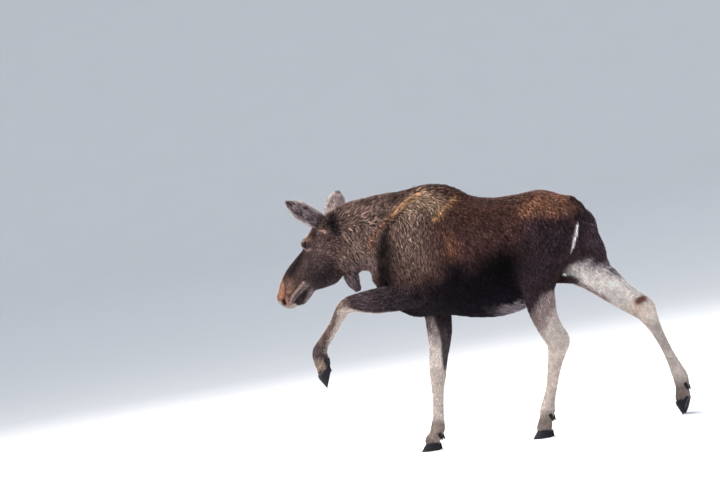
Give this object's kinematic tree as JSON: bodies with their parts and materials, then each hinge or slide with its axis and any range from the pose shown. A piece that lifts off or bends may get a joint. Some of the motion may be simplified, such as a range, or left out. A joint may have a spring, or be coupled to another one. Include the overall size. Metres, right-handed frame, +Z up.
{
  "type": "moose",
  "caption": "Life-size adult moose cow without antlers, walking with one foreleg raised and one hind leg stretched back; a still figure that stands on its planted hooves.",
  "frame": {"origin": "on the floor under the middle of the whole outline", "axes": "+Z up, -Y the way the animal walks and its head points, +X the animal's left side (the side of the raised foreleg)"},
  "size_m": [0.5566, 2.575, 1.7385],
  "materials": {
    "body_coat": "matte, coarse grizzled winter coat",
    "leg_coat": "matte, short pale coat",
    "head_coat": "matte, short coat",
    "ear_coat": "matte, short coat",
    "tail_coat": "matte, short dark coat",
    "eye": "wet, glossy",
    "horn": "worn satin horn"
  },
  "bodies": {
    "root": {"bell": "body_coat", "claw_fore_left_left": "horn", "claw_fore_left_right": "horn", "claw_fore_right_left": "horn", "claw_fore_right_right": "horn", "claw_hind_left_left": "horn", "claw_hind_left_right": "horn", "claw_hind_right_left": "horn", "claw_hind_right_right": "horn", "dewclaw_fore_left_left": "horn", "dewclaw_fore_left_right": "horn", "dewclaw_fore_right_left": "horn", "dewclaw_fore_right_right": "horn", "dewclaw_hind_left_left": "horn", "dewclaw_hind_left_right": "horn", "dewclaw_hind_right_left": "horn", "dewclaw_hind_right_right": "horn", "ear_left": "ear_coat", "ear_right": "ear_coat", "eye_left": "eye", "eye_right": "eye", "foreleg_left_cannon": "leg_coat", "foreleg_left_foot": "leg_coat", "foreleg_left_forearm": "leg_coat", "foreleg_right_cannon": "leg_coat", "foreleg_right_foot": "leg_coat", "foreleg_right_forearm": "leg_coat", "head": "head_coat", "hindleg_left_cannon": "leg_coat", "hindleg_left_foot": "leg_coat", "hindleg_left_shank": "leg_coat", "hindleg_right_cannon": "leg_coat", "hindleg_right_foot": "leg_coat", "hindleg_right_shank": "leg_coat", "hindquarter_left": "body_coat", "hindquarter_right": "body_coat", "neck": "body_coat", "tail": "tail_coat", "trunk": "body_coat"}
  },
  "joints": []
}
